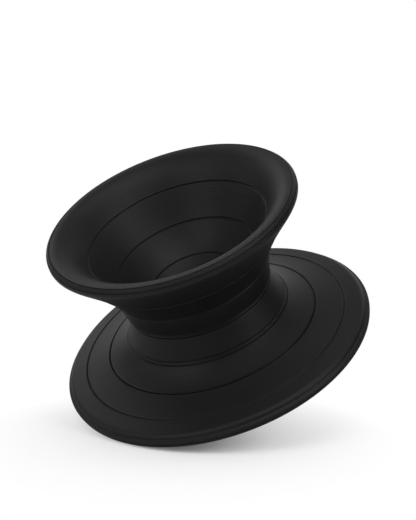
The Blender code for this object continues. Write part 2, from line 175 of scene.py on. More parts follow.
class ChairFinish(bpy.types.PropertyGroup):
    """Colours and surface of the materials"""
    shell: colour("Shell", "Black polyethylene", (0.0055, 0.0055, 0.0057))
    shell_roughness: share("Shell roughness", "Roughness of the mouldings", 0.50)
    shell_gloss: share("Shell gloss", "Strength of the mouldings' reflections", 0.17)
    tip: colour("Tip", "Black nylon of the floor tip", (0.0110, 0.0110, 0.0115))
    rubber: colour("Seal", "Black rubber of the seal", (0.0060, 0.0060, 0.0060))
    zinc: colour("Zinc", "Zinc plating of bolts, screws and plate", (0.60, 0.60, 0.58))
    brass: colour("Brass", "Threaded inserts", (0.72, 0.53, 0.24))


class ChairStage(bpy.types.PropertyGroup):
    """Camera, floor and light"""
    azimuth: angle("Azimuth", "Camera's turn round the chair from its front", 40.2)
    elevation: angle("Elevation", "Camera's height above the horizon", 10.0)
    distance: length("Distance", "Camera to the middle of the base rim, along the view", 5.0605)
    aim_right: length("Aim right", "Aim point to the right of the base rim's middle", -0.0285)
    aim_up: length("Aim up", "Aim point above the base rim's middle, in the picture", 0.2390)
    focal_pixels: amount("Focal length", "Focal length in pixels of the picture", 1739.2)
    floor_grey: share("Floor grey", "Colour of the floor", 0.85)
    room_grey: share("Room grey", "Light from the room all round", 0.05)


# The chair's place, read from the frame

def node_corners(name):
    """Corners of a CAD node, each once, as rows of x, y and z."""
    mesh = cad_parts[name].data
    corners = np.empty(len(mesh.vertices) * 3, np.float32)
    mesh.vertices.foreach_get("co", corners)
    return np.unique(corners.reshape(-1, 3).round(6), axis=0)


def chair_place(form):
    """Matrix from the chair's own axes to the frame's: the seal lies square to the axis, at the waist."""
    corners = node_corners("joint_seal")
    middle = corners.mean(axis=0)
    axis = Vector(np.linalg.svd(corners - middle, full_matrices=False)[2][2])
    if axis.z < 0.0:
        axis.negate()
    side = Vector((1.0, 0.0, 0.0))
    turn = Matrix((side, axis.cross(side), axis)).transposed().to_4x4()
    return Matrix.Translation(Vector(middle) - axis * form.waist_height) @ turn


class Chair:
    """The settings of one build, with the chair's lean and the depth of its cone's point on the axis."""

    def __init__(self, scene):
        self.form = scene.chair_form
        self.joint = scene.chair_joint
        self.finish = scene.chair_finish
        self.place = chair_place(self.form)
        self.lean = math.acos(self.place.col[2].z)
        self.depth = self.place.translation.z / math.cos(self.lean)


# Section lines

def polar(turn, reach=1.0):
    return np.array((math.cos(turn), math.sin(turn))) * reach


def bezier(start, start_handle, end_handle, end, count=400):
    """Close points along a cubic curve."""
    t = np.linspace(0.0, 1.0, count)[:, None]
    s = 1.0 - t
    return (s ** 3 * np.array(start) + 3 * s * s * t * np.array(start_handle)
            + 3 * s * t * t * np.array(end_handle) + t ** 3 * np.array(end))


def arc(centre, radius, first, last, count=120):
    turns = np.linspace(first, last, count)
    return np.array(centre) + radius * np.stack((np.cos(turns), np.sin(turns)), axis=1)


def inset(points, distance):
    """The same line, moved to its right hand side, which is the material's side."""
    along = np.gradient(points, axis=0)
    along /= np.linalg.norm(along, axis=1)[:, None]
    return points + np.stack((along[:, 1], -along[:, 0]), axis=1) * distance


def run_of(points):
    """Distance along a line at each of its points."""
    steps = np.linalg.norm(np.diff(points, axis=0), axis=1)
    return np.concatenate(((0.0,), np.cumsum(steps)))


class Mark:
    """A groove, or with a negative depth a bead, at one place along a line."""

    floor_share = 0.1
    edge_share = 0.16
    reach = 1.8
    profile = np.array((-1.8, -1.4, -1.0, -0.85, -0.7, -0.55, -0.4, -0.25, -0.1,
                        0.1, 0.25, 0.4, 0.55, 0.7, 0.85, 1.0, 1.4, 1.8))

    def __init__(self, place, width, depth):
        self.place = place
        self.half = width / 2
        self.depth = depth

    def covers(self, run):
        return abs(run - self.place) <= self.half * self.reach

    def cut(self, run):
        """Depth at each place along the line: a narrow floor, sloping walls and slightly raised edges."""
        side = np.abs(run - self.place) / self.half
        wall = np.clip((side - self.floor_share) / (1.0 - self.floor_share), 0.0, 1.0)
        floor = 1.0 - wall * wall * (3.0 - 2.0 * wall)
        edge = np.sin(np.clip((side - 1.0) / (self.reach - 1.0), 0.0, 1.0) * math.pi)
        return self.depth * (floor - self.edge_share * edge)


def thinned(points, step, bend):
    """Indices of points to keep: a step apart, or closer where the line bends."""
    along = np.diff(points, axis=0)
    heading = np.unwrap(np.arctan2(along[:, 1], along[:, 0]))
    run = run_of(points)
    kept = [0]
    for i in range(1, len(points) - 1):
        far = run[i] - run[kept[-1]] >= step
        bent = abs(heading[i] - heading[kept[-1]]) >= bend
        if far or bent:
            kept.append(i)
    return kept + [len(points) - 1]


# Stations on each ridge, and how steeply the ridges fade: 3 is over the last third of the way
RIDGE_STATIONS = 4
RIDGE_FADE = 3.0


def ridged(total, pitch):
    """Stations along a line, a few on each ridge, and the pitch that fits the line's length."""
    count = max(1, round(total / pitch))
    return np.linspace(0.0, total, RIDGE_STATIONS * count + 1), total / count


def dressed(points, marks=(), step=0.012, bend=math.radians(5.0), ridge=(0.0, 0.0), fade=None):
    """A line's points, cut by its marks, and either thinned or covered with ridges of a pitch and height.

    The ridges fade out at a distance along the line if one is given.
    """
    run = run_of(points)
    pitch, height = ridge
    if height > 0.0:
        plain, pitch = ridged(run[-1], pitch)
    else:
        plain = run[thinned(points, step, bend)]
    stations = [place for place in plain if not any(mark.covers(place) for mark in marks)]
    for mark in marks:
        stations.extend(mark.place + mark.half * mark.profile)
    stations = np.unique(np.clip(stations, 0.0, run[-1]).round(7))
    depth = sum((mark.cut(stations) for mark in marks), np.zeros(len(stations)))
    if height > 0.0:
        strength = 1.0 if fade is None else np.clip(RIDGE_FADE * (1.0 - stations / fade), 0.0, 1.0)
        depth += strength * height * (0.5 - 0.5 * np.cos(2 * math.pi * stations / pitch))
    along = np.gradient(points, run, axis=0)
    along /= np.linalg.norm(along, axis=1)[:, None]
    place = np.stack([np.interp(stations, run, points[:, k]) for k in (0, 1)], axis=1)
    facing = np.stack([np.interp(stations, run, along[:, k]) for k in (0, 1)], axis=1)
    return place + np.stack((facing[:, 1], -facing[:, 0]), axis=1) * depth[:, None]


def joined(*lines):
    """One line from several, without the points that neighbours share."""
    points = []
    for line in lines:
        for point in line:
            if not points or np.hypot(*(np.array(point) - points[-1])) > SAME_POINT:
                points.append(np.array(point, float))
    return np.array(points)


# Nodes, written as expressions

class Wire:
    """An output socket that arithmetic can be written on. Each step adds a Math node."""

    def __init__(self, net, socket):
        self.net = net
        self.socket = socket

    def out(self, name):
        """Another output of the same node."""
        return Wire(self.net, self.socket.node.outputs[name])

    def __add__(self, other):
        return self.net.math("ADD", self, other)

    def __sub__(self, other):
        return self.net.math("SUBTRACT", self, other)

    def __rsub__(self, other):
        return self.net.math("SUBTRACT", other, self)

    def __mul__(self, other):
        return self.net.math("MULTIPLY", self, other)

    def __truediv__(self, other):
        return self.net.math("DIVIDE", self, other)

    def __rtruediv__(self, other):
        return self.net.math("DIVIDE", other, self)

    __radd__ = __add__
    __rmul__ = __mul__


class Net:
    """Adds nodes to a tree."""

    def __init__(self, tree):
        self.tree = tree

    def node(self, kind, settings=None, inputs=None, output=0):
        """One node: its settings are set first, then its sockets get values or links."""
        made = self.tree.nodes.new(kind)
        for name, value in (settings or {}).items():
            if name == "stops":
                self.set_stops(made.color_ramp.elements, value)
            else:
                setattr(made, name, value)
        for key, value in (inputs or {}).items():
            wires = value if isinstance(value, list) else [value]
            if isinstance(wires[0], Wire):
                for wire in wires:
                    self.tree.links.new(wire.socket, made.inputs[key])
            else:
                made.inputs[key].default_value = value
        return Wire(self, made.outputs[output]) if len(made.outputs) else made

    @staticmethod
    def set_stops(elements, stops):
        while len(elements) < len(stops):
            elements.new(1.0)
        for element, (position, grey) in zip(elements, stops):
            element.position = position
            element.color = (grey, grey, grey, 1.0)

    def math(self, operation, *values):
        return self.node("ShaderNodeMath", {"operation": operation}, dict(enumerate(values)))


# Turning, drilling and screws

def new_tree(name, inputs):
    """A tree of Geometry Nodes with named inputs, and what adds its nodes."""
    tree = bpy.data.node_groups.new(name, "GeometryNodeTree")
    for label, kind in inputs.items():
        tree.interface.new_socket(name=label, in_out="INPUT", socket_type="NodeSocket" + kind)
    tree.interface.new_socket(name="Made", in_out="OUTPUT", socket_type="NodeSocketGeometry")
    net = Net(tree)
    return tree, net, net.node("NodeGroupInput")


def end_tree(net, given, made):
    """Realize Instances and Set Material, which end every tree."""
    real = net.node("GeometryNodeRealizeInstances", None, {"Geometry": made})
    clad = net.node("GeometryNodeSetMaterial", None, {"Geometry": real, "Material": given.out("Finish")})
    net.node("NodeGroupOutput", None, {"Made": clad})


def kept_tree(name, make):
    return bpy.data.node_groups.get(name) or make(name)


def turning_tree(name):
    """Geometry Nodes that spin a section, given as a row of points, into a closed surface."""
    tree, net, given = new_tree(name, {"Section": "Geometry", "Segments": "Int", "Phase": "Float",
                                       "Finish": "Material"})
    section = given.out("Section")
    segments = given.out("Segments")
    rings = net.node("GeometryNodeAttributeDomainSize", {"component": "MESH"}, {"Geometry": section})
    spokes = segments + 1
    grid = net.node("GeometryNodeMeshGrid", None, {"Vertices X": rings, "Vertices Y": spokes})
    index = net.node("GeometryNodeInputIndex")
    ring = net.math("FLOOR", (index + 0.5) / spokes)
    turn = (index - ring * spokes) * (2 * math.pi / segments) + given.out("Phase")
    place = net.node("GeometryNodeSampleIndex", {"data_type": "FLOAT_VECTOR", "domain": "POINT"},
                     {"Geometry": section, "Value": net.node("GeometryNodeInputPosition"), "Index": ring})
    parts = net.node("ShaderNodeSeparateXYZ", None, {0: place})
    radius = parts.out("X")
    spot = net.node("ShaderNodeCombineXYZ", None, {
        "X": radius * net.math("COSINE", turn), "Y": radius * net.math("SINE", turn), "Z": parts.out("Z")})
    spun = net.node("GeometryNodeSetPosition", None, {"Geometry": grid, "Position": spot})
    run = net.node("GeometryNodeInputNamedAttribute", {"data_type": "FLOAT"}, {"Name": "run"})
    run_here = net.node("GeometryNodeSampleIndex", {"data_type": "FLOAT", "domain": "POINT"},
                        {"Geometry": section, "Value": run, "Index": ring})
    kept = net.node("GeometryNodeStoreNamedAttribute", {"data_type": "FLOAT", "domain": "POINT"},
                    {"Geometry": spun, "Name": "run", "Value": run_here})
    welded = net.node("GeometryNodeMergeByDistance", None, {"Geometry": kept, "Distance": WELD})
    end_tree(net, given, welded)
    return tree


def spots_round(net, given, height):
    """Points evenly round the axis at a height."""
    ring = net.node("GeometryNodeMeshCircle", {"fill_type": "NONE"},
                    {"Vertices": given.out("Count"), "Radius": given.out("Circle")})
    lift = net.node("ShaderNodeCombineXYZ", None, {"Z": height})
    turn = net.node("ShaderNodeCombineXYZ", None, {"Z": given.out("First")})
    return net.node("GeometryNodeTransform", None,
                    {"Geometry": ring, "Translation": lift, "Rotation": turn})


def cut_away(net, piece, cutters):
    return net.node("GeometryNodeMeshBoolean", {"operation": "DIFFERENCE", "solver": "EXACT"},
                    {"Mesh 1": piece, "Mesh 2": cutters})


def drilling_tree(name):
    """Geometry Nodes that drill a ring of round holes along the axis."""
    tree, net, given = new_tree(name, {
        "Piece": "Geometry", "Count": "Int", "Circle": "Float", "First": "Float",
        "Radius": "Float", "Bottom": "Float", "Top": "Float", "Finish": "Material"})
    bottom = given.out("Bottom")
    top = given.out("Top")
    drill = net.node("GeometryNodeMeshCylinder", None,
                     {"Vertices": DRILL_SEGMENTS, "Radius": given.out("Radius"), "Depth": top - bottom})
    drills = net.node("GeometryNodeInstanceOnPoints", None,
                      {"Points": spots_round(net, given, (bottom + top) * 0.5), "Instance": drill})
    solid = net.node("GeometryNodeRealizeInstances", None, {"Geometry": drills})
    end_tree(net, given, cut_away(net, given.out("Piece"), [solid]))
    return tree


def screw_tree(name):
    """Geometry Nodes that turn a screw, cut the cross into its head and set a ring of them."""
    tree, net, given = new_tree(name, {
        "Section": "Geometry", "Segments": "Int", "Count": "Int", "Circle": "Float",
        "First": "Float", "Head": "Float", "Cross": "Float", "Finish": "Material"})
    shaft = net.node("GeometryNodeGroup", {"node_tree": kept_tree("turning", turning_tree)},
                     {"Section": given.out("Section"), "Segments": given.out("Segments"),
                      "Finish": given.out("Finish")})
    cross = given.out("Cross")
    place = net.node("ShaderNodeCombineXYZ", None, {"Z": given.out("Head")})
    bars = []
    for wide, deep in ((cross, cross * SLOT_WIDTH), (cross * SLOT_WIDTH, cross)):
        size = net.node("ShaderNodeCombineXYZ", None, {"X": wide, "Y": deep, "Z": cross * SLOT_DEPTH})
        bar = net.node("GeometryNodeMeshCube", None, {"Size": size})
        bars.append(net.node("GeometryNodeTransform", None, {"Geometry": bar, "Translation": place}))
    screw = cut_away(net, shaft, bars)
    screws = net.node("GeometryNodeInstanceOnPoints", None,
                      {"Points": spots_round(net, given, 0.0), "Instance": screw})
    end_tree(net, given, screws)
    return tree


def set_inputs(modifier, values):
    """Set a modifier's inputs by their sockets' identifiers."""
    for item in modifier.node_group.interface.items_tree:
        if item.in_out == "INPUT" and item.name in values:
            modifier[item.identifier] = values[item.name]


def section_object(name, points):
    """A row of points that carries the distance along the section."""
    mesh = bpy.data.meshes.new(name)
    mesh.from_pydata([(r, 0.0, z) for r, z in points], [], [])
    run = mesh.attributes.new("run", "FLOAT", "POINT")
    run.data.foreach_set("value", run_of(points).astype(np.float32))
    made = bpy.data.objects.new(name, mesh)
    bpy.context.scene.collection.objects.link(made)
    return made


def add_nodes(made, tree, values):
    modifier = made.modifiers.new(tree.name, "NODES")
    modifier.node_group = tree
    set_inputs(modifier, values)


def turned(name, points, finish, chair, holes=()):
    """A finished piece: its section is spun, drilled, made a plain mesh and laid where the frame has it.

    The middle of one facet faces the front, so that the underside lies on the floor with a flat strip.
    """
    count = chair.form.segments
    made = section_object(name, points)
    front = -math.pi / 2
    add_nodes(made, kept_tree("turning", turning_tree),
              {"Segments": count, "Phase": math.pi / count + front, "Finish": finish})
    for hole in holes:
        add_nodes(made, kept_tree("drilling", drilling_tree), {**hole, "Finish": finish})
    finish_mesh(made, chair.place)
    return made


def finish_mesh(made, place):
    """Replace a modified object's mesh by what the modifier made, welded, facing out and in place."""
    shown = made.evaluated_get(bpy.context.evaluated_depsgraph_get())
    mesh = bpy.data.meshes.new_from_object(shown, preserve_all_data_layers=True,
                                           depsgraph=bpy.context.evaluated_depsgraph_get())
    made.modifiers.clear()
    made.data = mesh
    while mesh.materials[0] is None:
        mesh.materials.pop(index=0)
    mesh.polygons.foreach_set("material_index", np.zeros(len(mesh.polygons), np.int32))
    mesh.transform(place)
    bm = bmesh.new()
    bm.from_mesh(mesh)
    bmesh.ops.recalc_face_normals(bm, faces=bm.faces)
    bm.to_mesh(mesh)
    bm.free()
    mesh.shade_smooth()
    mesh.set_sharp_from_angle(angle=SHARP_EDGE)


def settle(made, slot, *nodes):
    """Let a piece ride on the chair and stand for its CAD nodes. Its slot is not used."""
    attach(made, BODY)
    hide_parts(*nodes)


# Section lines of the mouldings

SEAT_GROOVE_RADII = (0.1215, 0.1985, 0.2620)
COLLAR_GROOVE_HEIGHTS = (0.3275, 0.2535)
# Radius and depth
SKIRT_GROOVES = ((0.2346, 0.0018), (0.2410, 0.0018), (0.3105, 0.0039), (0.3896, 0.0027))
# Facing in degrees above the rim's plane, width and depth
TOP_RIM_MARKS = ((75.0, 0.0030, 0.0022), (58.0, 0.0016, 0.0005), (42.0, 0.0016, 0.0005),
                 (24.0, 0.0030, 0.0022), (4.0, 0.0016, 0.0005))
# Place along the rim from the end of the roll, width and depth
BASE_RIM_MARKS = ((0.0050, 0.0090, 0.0012), (0.0145, 0.0130, -0.0022), (0.0205, 0.0030, 0.0022),
                  (0.0265, 0.0014, 0.0003))
# The hollows are never seen, so their points lie farther apart
HOLLOW_STEP = 0.03
HOLLOW_BEND = math.radians(15.0)
# Points along the straight neck and foot, the base rim's band, the cone, the seal's edge, the tip's nose
# and a screw's dome
STRAIGHT_POINTS = 120
BAND_POINTS = 40
CONE_POINTS = 12
SEAL_POINTS = 12
NOSE_POINTS = 24
DOME_POINTS = 7


def top_edge(form, wall=0.0):
    """Upper round, face and lower round of the top rim, or the same a wall inside them."""
    upper = (form.top_radius - form.top_rim_round, form.top_rim_height)
    lower = (form.top_radius - form.top_rim_under, form.top_rim_height - form.top_rim_face)
    return joined(arc(upper, form.top_rim_round - wall, math.pi / 2 + form.lip_angle, 0.0),
                  arc(lower, form.top_rim_under - wall, 0.0, form.collar_angle - math.pi / 2))


def nose_of(chair):
    """Centre and radius of the base rim's nose, whose round touches the floor's line."""
    radius = chair.form.base_radius
    reach = radius * math.sin(chair.lean)
    nose = (chair.depth * math.cos(chair.lean) - reach) / (1.0 - math.sin(chair.lean))
    return np.array((radius - nose, 0.0)), nose


def underside(chair, radius, wall=0.0):
    """Height of the underside at a radius, or of a surface a wall inside it."""
    return radius * math.tan(chair.lean) - chair.depth + wall / math.cos(chair.lean)


def underside_radius(chair, height, wall=0.0):
    """Radius at which the underside, or a surface a wall inside it, has a height."""
    return (height + chair.depth - wall / math.cos(chair.lean)) / math.tan(chair.lean)


def seat_line(form):
    start = np.array((0.0, form.seat_height))
    end = top_edge(form)[0]
    return bezier(start, start + (form.seat_pull, 0.0), end - polar(form.lip_angle, form.lip_pull), end)


def collar_line(form):
    """From the top rim down a curve, then straight to the waist."""
    start = top_edge(form)[-1]
    bend = np.array((form.collar_bend_radius, form.collar_bend_height))
    curve = bezier(start, start - polar(form.collar_angle, form.collar_pull),
                   bend + polar(math.pi / 2 - form.collar_bend_angle, form.collar_bend_pull), bend)
    return joined(curve, np.linspace(bend, (form.waist_radius, form.waist_height), STRAIGHT_POINTS))


def base_roll(chair):
    """The band's two ends, from the nose up, and the centre of the roll above it."""
    form = chair.form
    centre, nose = nose_of(chair)
    facing = math.pi / 2 - form.band_angle
    low = centre + polar(facing, nose)
    high = low + polar(facing + math.pi / 2, form.band_width)
    return low, high, high - polar(facing, form.roll_round)


def skirt_line(chair):
    """From the waist straight to a bend, then down a curve to the base rim."""
    form = chair.form
    bend = np.array((form.skirt_bend_radius, form.skirt_bend_height))
    end = base_roll(chair)[2] + polar(math.pi / 2 - form.skirt_angle, form.roll_round)
    curve = bezier(bend, bend + polar(form.skirt_bend_angle - math.pi / 2, form.skirt_bend_pull),
                   end - polar(-form.skirt_angle, form.skirt_pull), end)
    return joined(np.linspace((form.waist_radius, form.waist_height), bend, STRAIGHT_POINTS), curve)


def base_edge(chair, wall=0.0):
    """Roll, band and nose of the base rim, or the same a wall inside them."""
    form = chair.form
    low, _, centre = base_roll(chair)
    nose_centre, nose = nose_of(chair)
    facing = math.pi / 2 - form.band_angle
    roll = arc(centre, form.roll_round - wall, math.pi / 2 - form.skirt_angle, facing)
    return joined(roll, np.linspace(roll[-1], low - polar(facing, wall), BAND_POINTS),
                  arc(nose_centre, nose - wall, facing, chair.lean - math.pi / 2))


def grooves_at(line, targets, column, width, depth):
    """Grooves where a line passes given radii (column 0) or heights (column 1)."""
    run = run_of(line)
    values = line[:, column]
    order = np.argsort(values)
    return [Mark(np.interp(target, values[order], run[order]), width, depth) for target in targets]


def upper_half(line, height):
    return line[line[:, 1] >= height]


def lower_half(line, height):
    return line[line[:, 1] <= height]


# Sections and holes of the pieces

def joint_heights(chair):
    """Undersides of the seat's shoulder and spigot, and the tops of the base's land and socket floor."""
    joint = chair.joint
    waist = chair.form.waist_height
    stand = joint.seal_thickness / 2 + joint.fit_gap
    end = waist - joint.spigot_length
    return waist + stand, end, waist - stand, end - joint.fit_gap


def seat_section(chair):
    """Bowl, top rim and collar outside, then the spigot and the hollow inside."""
    form = chair.form
    joint = chair.joint
    shoulder, end, _, _ = joint_heights(chair)
    seat = seat_line(form)
    collar = upper_half(collar_line(form), shoulder + joint.chamfer)
    groove = (form.groove_width, form.groove_depth)
    bowl = dressed(seat, grooves_at(seat, SEAT_GROOVE_RADII, 0, *groove),
                   ridge=(form.ridge_pitch, form.bowl_ridge))
    crest = math.pi / 2 + form.lip_angle
    rim = dressed(top_edge(form), [Mark(form.top_rim_round * (crest - math.radians(facing)), width, depth)
                                   for facing, width, depth in TOP_RIM_MARKS])
    grooves = grooves_at(collar, COLLAR_GROOVE_HEIGHTS, 1, *groove)
    foot = Mark(run_of(collar)[-1] - joint.foot_height, joint.foot_width, joint.foot_depth)
    skin = dressed(collar, [*grooves, foot], ridge=(form.ridge_pitch, form.collar_ridge),
                   fade=grooves[0].place)
    spigot = form.waist_radius - joint.neck_wall
    bore = spigot - form.wall
    pad = end + joint.pad_height
    under = [(skin[-1][0] - joint.chamfer, shoulder), (spigot, shoulder), (spigot, end),
            (joint.vent_radius, end), (joint.vent_radius, pad), (joint.pad_radius, pad),
            (joint.pad_radius, end + form.wall), (bore, end + form.wall), (bore, shoulder + form.wall)]
    inner_seat = dressed(inset(seat, form.wall), step=HOLLOW_STEP)
    inner_rim = dressed(top_edge(form, form.wall), step=HOLLOW_STEP, bend=HOLLOW_BEND)
    inner_line = upper_half(collar_line(form), shoulder + form.wall)
    inner_collar = dressed(inset(inner_line, form.wall), step=HOLLOW_STEP)
    hollow = joined(inner_seat[:-1], inner_rim, inner_collar[1:])
    hollow[0] = (0.0, form.seat_height - form.wall)
    return joined(bowl, rim, skin, under, hollow[::-1])


def bolt_ring(joint, radius, bottom, top):
    return {"Count": joint.bolt_count, "Circle": joint.bolt_circle, "First": joint.bolt_first,
            "Radius": radius, "Bottom": bottom, "Top": top}


def screw_ring(joint, radius, bottom, top):
    return {"Count": joint.screw_count, "Circle": joint.screw_circle, "First": joint.screw_first,
            "Radius": radius, "Bottom": bottom, "Top": top}


def insert_pockets(chair):
    """Blind pockets for the threaded inserts, in the spigot's floor."""
    joint = chair.joint
    end = joint_heights(chair)[1]
    radius = joint.bolt_radius + joint.insert_wall + 2 * joint.fit_gap
    return bolt_ring(joint, radius, end - chair.form.wall, end + joint.insert_length + 2 * joint.fit_gap)


def base_section(chair):
    """Socket, skirt, base rim and underside outside, then the hollow inside."""
    form = chair.form
    joint = chair.joint
    _, _, land, socket_top = joint_heights(chair)
    socket_radius = form.waist_radius - joint.neck_wall + joint.slip_gap
    under = socket_top - joint.socket_floor
    vent = joint.vent_radius + joint.vent_step
    skirt = lower_half(skirt_line(chair), land - joint.land_chamfer)
    grooves = [groove for radius, depth in SKIRT_GROOVES
               for groove in grooves_at(skirt, (radius,), 0, form.groove_width, depth)]
    skin = dressed(skirt, grooves, ridge=(form.ridge_pitch, form.skirt_ridge))
    roll_length = form.roll_round * (form.band_angle - form.skirt_angle)
    rim = dressed(base_edge(chair), [Mark(roll_length + place, width, depth)
                                     for place, width, depth in BASE_RIM_MARKS])
    socket = [(vent, socket_top), (socket_radius, socket_top), (socket_radius, land),
              (skin[0][0] - joint.land_chamfer, land)]
    rebate = tip_seat(chair)
    flange = rebate + joint.flange
    cone_end = (joint.tip_radius, underside(chair, joint.tip_radius))
    cone = np.linspace(rim[-1], cone_end, CONE_POINTS)
    mouth = [(joint.tip_radius, rebate), (joint.mouth_radius, rebate), (joint.mouth_radius, flange),
             (underside_radius(chair, flange, form.wall), flange)]
    hollow = joined(dressed(inset(lower_half(skirt_line(chair), under), form.wall), step=HOLLOW_STEP)[:-1],
                    dressed(base_edge(chair, form.wall), step=HOLLOW_STEP, bend=HOLLOW_BEND))
    ceiling = [(hollow[0][0], under), (vent, under)]
    return joined(socket, skin, rim, cone, mouth, hollow[::-1], ceiling, socket[:1])


def bolt_holes(chair):
    """Holes through the socket's floor."""
    joint = chair.joint
    socket_top = joint_heights(chair)[3]
    bottom = socket_top - joint.socket_floor - chair.form.wall
    return bolt_ring(joint, joint.bolt_radius + joint.slip_gap, bottom, socket_top + chair.form.wall)


def tip_seat(chair):
    """Height of the base's rebate that the tip lies in."""
    return underside(chair, chair.joint.tip_radius) + chair.joint.tip_edge


def screw_pilots(chair):
    """Blind holes in the base for the tip's screws."""
    joint = chair.joint
    rebate = tip_seat(chair)
    return screw_ring(joint, joint.screw_radius + joint.fit_gap, rebate - joint.tip_edge,
                      rebate + joint.screw_bite + joint.fit_gap)


def seal_section(chair):
    form = chair.form
    joint = chair.joint
    inner = form.waist_radius - joint.neck_wall + joint.slip_gap
    outer = form.waist_radius - joint.seal_recess
    half = joint.seal_thickness / 2
    bulge = arc((outer - half, form.waist_height), half, math.pi / 2, -math.pi / 2, SEAL_POINTS)
    top = (inner, form.waist_height + half)
    return joined([top], bulge, [(inner, form.waist_height - half), top])


def tip_top(chair):
    return tip_seat(chair) - chair.joint.fit_gap


def screw_head_seat(chair):
    """Height at which the heads of the tip's screws bear."""
    return tip_top(chair) - chair.joint.screw_grip


def tip_section(chair):
    """Inside and centring ring of the tip, then its cone and its round nose."""
    joint = chair.joint
    edge = joint.tip_radius - joint.fit_gap
    top = tip_top(chair)
    ring_top = top + joint.tip_spigot_height
    spigot = joint.mouth_radius - joint.slip_gap
    bore = spigot - joint.tip_spigot_wall
    ball = joint.tip_round / math.cos(chair.lean) - chair.depth
    floor = ball - joint.tip_round + joint.tip_wall
    inside = [(0.0, floor), (underside_radius(chair, floor, joint.tip_wall), floor),
              (bore, underside(chair, bore, joint.tip_wall)), (bore, ring_top), (spigot, ring_top),
              (spigot, top), (edge, top), (edge, underside(chair, edge))]
    nose = arc((0.0, ball), joint.tip_round, chair.lean - math.pi / 2, -math.pi / 2, NOSE_POINTS)
    nose[-1][0] = 0.0
    return joined(inside, nose)


def tip_holes(chair):
    """Through holes for the screws, and the counterbores that hide their heads."""
    joint = chair.joint
    seat = screw_head_seat(chair)
    deep = seat - chair.depth
    return (screw_ring(joint, joint.screw_radius + joint.fit_gap, deep, tip_top(chair) + joint.tip_wall),
            screw_ring(joint, joint.screw_head + joint.slip_gap, deep, seat))


def screw_section(chair):
    """Shank and domed head of a tip screw, from its point down."""
    joint = chair.joint
    seat = screw_head_seat(chair)
    point = tip_seat(chair) + joint.screw_bite
    bevel = joint.screw_radius / 3
    crown = joint.screw_head_height / 2
    low = seat - joint.screw_head_height
    turns = np.linspace(0.0, math.pi / 2, DOME_POINTS)
    dome = np.stack((joint.screw_head * np.cos(turns), low + crown - crown * np.sin(turns)), axis=1)
    dome[-1][0] = 0.0
    return joined([(0.0, point), (joint.screw_radius - bevel, point), (joint.screw_radius, point - bevel),
                   (joint.screw_radius, seat), (joint.screw_head, seat)], dome)


# Materials

# Turned rings to a metre of the section, and the orange peel's share of their height
RING_SCALE = 230.0
GRAIN_SHARE = 0.1


def new_material(name):
    made = bpy.data.materials.new(name)
    made.use_nodes = True
    made.node_tree.nodes.clear()
    return made, Net(made.node_tree)


def kept_material(name, make, *values):
    return bpy.data.materials.get(name) or make(name, *values)


def noise(net, scale, detail):
    place = net.node("ShaderNodeTexCoord", None, None, "Object")
    return net.node("ShaderNodeTexNoise", None, {"Vector": place, "Scale": scale, "Detail": detail}, "Fac")


def mottled(net, factor, tone, darkest, lightest):
    """A tone that varies with a factor, between two multiples of it."""
    ends = [(*(value * times for value in tone), 1.0) for times in (darkest, lightest)]
    return net.node("ShaderNodeMix", {"data_type": "RGBA"}, {"Factor": factor, 6: ends[0], 7: ends[1]}, 2)


def close(net, sockets):
    """The Principled shader and the output that end a material."""
    shader = net.node("ShaderNodeBsdfPrincipled", None, sockets)
    net.node("ShaderNodeOutputMaterial", None, {"Surface": shader})


def bump(net, height, distance, strength):
    return net.node("ShaderNodeBump", None, {"Height": height, "Distance": distance, "Strength": strength})


def polyethylene(name, finish):
    """Matte black moulding with the faint orange peel and the fine turned rings of its mould."""
    made, net = new_material(name)
    grain = noise(net, scale=700.0, detail=2.0)
    cloud = noise(net, scale=9.0, detail=3.0)
    run = net.node("ShaderNodeAttribute", {"attribute_name": "run"}, None, "Fac")
    rings = net.node("ShaderNodeTexNoise", {"noise_dimensions": "1D"},
                     {"W": run, "Scale": RING_SCALE, "Detail": 3.0}, "Fac")
    close(net, {
        "Base Color": mottled(net, cloud, finish.shell, 0.85, 1.15),
        "Roughness": finish.shell_roughness + (cloud - 0.5) * 0.08 + (grain - 0.5) * 0.06,
        "Specular IOR Level": finish.shell_gloss,
        "Normal": bump(net, rings + grain * GRAIN_SHARE, distance=0.0006, strength=0.6),
    })
    return made


def nylon(name, finish):
    """Black tip, scuffed where it turns on the floor."""
    made, net = new_material(name)
    scuff = noise(net, scale=160.0, detail=6.0)
    cloud = noise(net, scale=14.0, detail=3.0)
    close(net, {
        "Base Color": mottled(net, scuff, finish.tip, 0.8, 1.5),
        "Roughness": 0.42 + (scuff - 0.5) * 0.25 + (cloud - 0.5) * 0.1,
        "Normal": bump(net, scuff, distance=0.00008, strength=0.7),
    })
    return made


def rubber(name, finish):
    """Dull black ring."""
    made, net = new_material(name)
    grain = noise(net, scale=900.0, detail=3.0)
    close(net, {
        "Base Color": mottled(net, grain, finish.rubber, 0.8, 1.2),
        "Roughness": 0.78 + (grain - 0.5) * 0.1,
        "Normal": bump(net, grain, distance=0.00008, strength=0.6),
    })
    return made


def plated(name, tone):
    """Plated or plain metal with a fine cloudy sheen."""
    made, net = new_material(name)
    cloud = noise(net, scale=120.0, detail=5.0)
    fine = noise(net, scale=1500.0, detail=2.0)
    close(net, {
        "Base Color": mottled(net, cloud, tone, 0.85, 1.05),
        "Metallic": 1.0,
        "Roughness": 0.32 + (cloud - 0.5) * 0.2,
        "Normal": bump(net, fine, distance=0.00003, strength=0.5),
    })
    return made


# Stage

